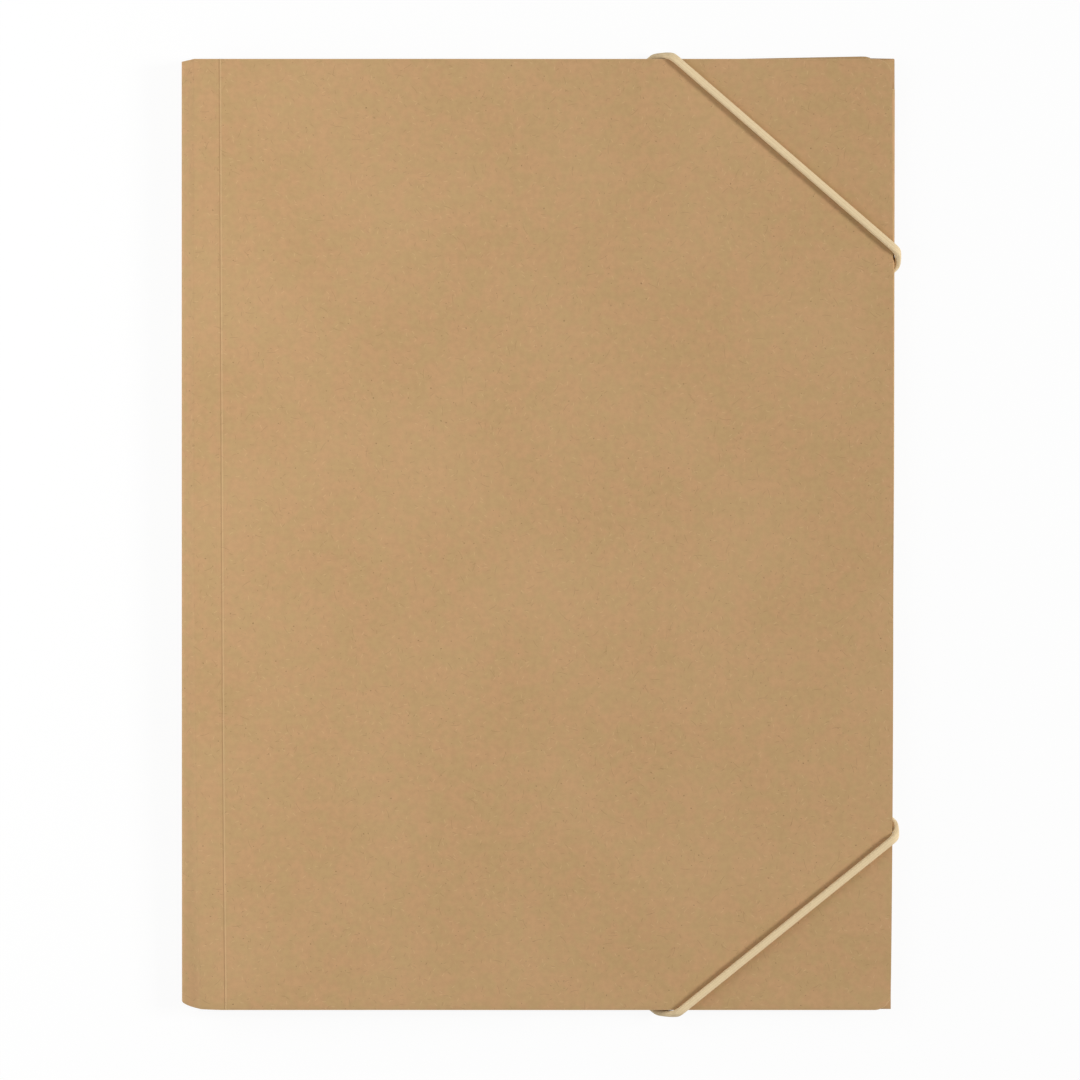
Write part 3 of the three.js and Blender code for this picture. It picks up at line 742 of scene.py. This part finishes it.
def cord_route(end, fore, slack, flip, barbs):
    """The elastic over one corner, taut: hole, back, round the head or foot edge, across the front, round the
    fore-edge, back, hole. It slips a little where it turns round an edge, and its own stiffness eases each
    bend as a running mean does. Gives its middle line, the way off the card along it, and its two holes."""
    up = np.array([0, 0, 1.0])
    out = np.array([0, 1.0, 0])
    forward = np.array([1.0, 0, 0])
    mirror = np.array([1, flip, 1])
    holes = [barb * np.array([1, flip, 0]) + PANEL_UNDER * up for barb in barbs]
    slope = (FORE_X - SPINE_X - end) / (HALF_HEIGHT - fore)
    end_x = SPINE_X + end
    top = cover_top(end_x)
    along_end = np.array([END_SLANT * slope, 0, 0])
    along_fore = np.array([0, -FORE_SLANT / slope, 0])
    quarter = math.pi / 2 * BEND
    over_end = np.array([end_x, HALF_HEIGHT + slack, top]) - quarter * along_end
    under_end = over_end - (quarter + top - PANEL_UNDER) * along_end - (top - PANEL_UNDER) * up
    over_fore = np.array([FORE_X + fore_fold_out(flip * fore), fore, COVER_TOP])
    under_fore = over_fore + (quarter + COVER_TOP - PANEL_UNDER) * along_fore - (COVER_TOP - PANEL_UNDER) * up
    from_end = unit((holes[0] - under_end) * np.array([1, 1, 0]))
    from_fore = unit((holes[1] - under_fore - quarter * along_fore) * np.array([1, 1, 0]))
    still = np.zeros(3)
    through = BOARD + TOUCH
    stretches = [
        ((holes[0] + through * up)[None], from_end[None]),
        quarter_turn(holes[0] - BEND * from_end, still, from_end, -up),
        quarter_turn(under_end, along_end, -up, out),
        quarter_turn(over_end, along_end, out, up),
        quarter_turn(over_fore, along_fore, up, forward),
        quarter_turn(under_fore, along_fore, forward, -up),
        quarter_turn(holes[1] - BEND * from_fore, still, -up, from_fore),
        ((holes[1] + through * up)[None], from_fore[None]),
    ]
    points = np.concatenate([stretch[0] for stretch in stretches])
    aways = np.concatenate([stretch[1] for stretch in stretches])
    travelled = np.cumsum(np.linalg.norm(np.diff(points, axis=0, prepend=points[:1]), axis=1))
    stations = np.linspace(0, travelled[-1], int(travelled[-1] / CORD_STEP))
    points = np.stack([np.interp(stations, travelled, points[:, k]) for k in range(3)], axis=1)
    aways = np.stack([np.interp(stations, travelled, aways[:, k]) for k in range(3)], axis=1)
    for _ in range(EASE_PASSES):
        points[1:-1] = (points[:-2] + 2 * points[1:-1] + points[2:]) / 4
        aways[1:-1] = (aways[:-2] + 2 * aways[1:-1] + aways[2:]) / 4
    return points * mirror, unit(aways) * mirror, [hole * mirror for hole in holes]


def make_cord(name, points, aways):
    """The elastic: a section carried along its route, one grid along by around, closed by its two ends. The
    section is an oval, flatter above and below than an ellipse by a power of its sine and cosine."""
    around = CORD_AROUND
    tangent = unit(np.gradient(points, axis=0))
    side = unit(np.cross(tangent, aways))
    normal = np.cross(side, tangent)
    angle = np.linspace(0, 2 * math.pi, around + 1)[:-1, None]
    wide = CORD_WIDE * np.sign(np.cos(angle)) * np.abs(np.cos(angle)) ** CORD_POWER
    high = CORD_HIGH * np.sign(np.sin(angle)) * np.abs(np.sin(angle)) ** CORD_POWER
    grid = points[:, None] + wide * side[:, None] + high * normal[:, None]
    steps = np.arange(len(points) - 1)[:, None]
    place = np.arange(around)[None]
    following = (place + 1) % around
    corners = [steps * around + place, steps * around + following]
    corners += [corner + around for corner in reversed(corners)]
    quads = np.stack(corners, axis=2).reshape(-1, 4)

    travelled = np.cumsum(np.linalg.norm(np.diff(points, axis=0, prepend=points[:1]), axis=1))
    girth = math.pi * (CORD_WIDE + CORD_HIGH)
    u = np.stack([place, place + 1, place + 1, place], axis=2) * girth / around + 0 * steps[:, :, None]
    v = np.stack([travelled[steps], travelled[steps], travelled[steps + 1], travelled[steps + 1]], axis=2)
    uv = np.stack([u, v + 0 * u], axis=3).reshape(-1, 2)
    last = (len(points) - 1) * around
    faces = quads.tolist() + [list(range(around))[::-1], list(range(last, last + around))]
    corner_uv = np.concatenate([uv, np.zeros((2 * around, 2))])
    vertices = grid.reshape(-1, 3)
    piece = make_mesh(name + "_elastic", vertices, faces, corner_uv, np.zeros(len(faces)), ELASTIC)
    merge_doubles(piece.data)
    on_back(piece, name + "_elastic_cord")
    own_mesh(piece)


# Studio

def light(name, place, width, height, power):
    """A soft light with a rectangular face, turned to the folder; its place and size are in metres."""
    data = bpy.data.lights.new(name, "AREA")
    data.shape = "RECTANGLE"
    data.size = width
    data.size_y = height
    data.energy = power
    lamp = bpy.data.objects.new(name, data)
    lamp.location = place
    lamp.rotation_euler = (-Vector(place)).to_track_quat("-Z", "Y").to_euler()
    bpy.context.scene.collection.objects.link(lamp)


def make_floor():
    """Pale floor under the folder, white to the camera but for a share that keeps its shadow."""
    half = FLOOR_HALF
    corners = [(-half, -half, 0), (half, -half, 0), (half, half, 0), (-half, half, 0)]
    mesh = bpy.data.meshes.new("floor")
    mesh.from_pydata(corners, [], [(0, 1, 2, 3)])
    material, tree = new_material("matte_white_table")
    path = add(tree, "ShaderNodeLightPath")
    matte = add(tree, "ShaderNodeBsdfDiffuse", {"Color": colour("F4F4F3")})
    white = add(tree, "ShaderNodeEmission", {"Color": (1, 1, 1, 1), "Strength": 1.0})
    seen = maths(tree, "MULTIPLY", path.outputs["Is Camera Ray"], 0.92)
    mix = add(tree, "ShaderNodeMixShader", {0: seen, 1: matte.outputs[0], 2: white.outputs[0]})
    add(tree, "ShaderNodeOutputMaterial", {"Surface": mix.outputs[0]})
    mesh.materials.append(material)
    floor = bpy.data.objects.new("floor", mesh)
    bpy.context.scene.collection.objects.link(floor)


def make_world():
    """White where the camera, a mirror or glass sees it, and soft where it lights the folder."""
    world = bpy.data.worlds.new("studio")
    bpy.context.scene.world = world
    world.use_nodes = True
    tree = world.node_tree
    tree.nodes.clear()
    path = add(tree, "ShaderNodeLightPath")
    seen = maths(tree, "MAXIMUM", path.outputs["Is Camera Ray"], path.outputs["Is Glossy Ray"])
    seen = maths(tree, "MAXIMUM", seen, path.outputs["Is Transmission Ray"])
    soft = add(tree, "ShaderNodeBackground", {"Color": (1, 1, 1, 1), "Strength": 0.28})
    white = add(tree, "ShaderNodeBackground", {"Color": (1, 1, 1, 1), "Strength": 1.0})
    mix = add(tree, "ShaderNodeMixShader", {0: seen, 1: soft.outputs[0], 2: white.outputs[0]})
    add(tree, "ShaderNodeOutputWorld", {"Surface": mix.outputs[0]})


# The folder

holes = []
for name, crossing, flip in (("upper", UPPER_CROSSING, 1), ("lower", LOWER_CROSSING, -1)):
    barbs = [sum(node_box(f"{name}_cord_barb_{number}")) / 2 for number in (1, 2)]
    points, aways, cord_holes = cord_route(**crossing, flip=flip, barbs=barbs)
    make_cord(name, points, aways)
    holes += cord_holes

make_cover()
make_crease()
make_spine()
make_end_flap("head_flap", 1, head_peek)
make_end_flap("foot_flap", -1, np.zeros_like)
make_side_flap()
make_panel(holes)

for name in ("upper_cord_barb_1", "upper_cord_barb_2", "lower_cord_barb_1", "lower_cord_barb_2"):
    for barb_slot in bpy.data.objects[name].material_slots:
        barb_slot.material = BARB_STEEL

make_camera()
make_floor()
make_world()
light("near_left", (-0.38, 0.13, 0.42), 0.4, 0.4, 1.2)
light("far_right", (2.4, 0.15, 1.6), 0.7, 0.7, 59.0)
light("strip_by_spine", (-0.5, -0.06, 0.13), 0.7, 0.14, 0.85)
bpy.context.scene.view_settings.view_transform = "Standard"
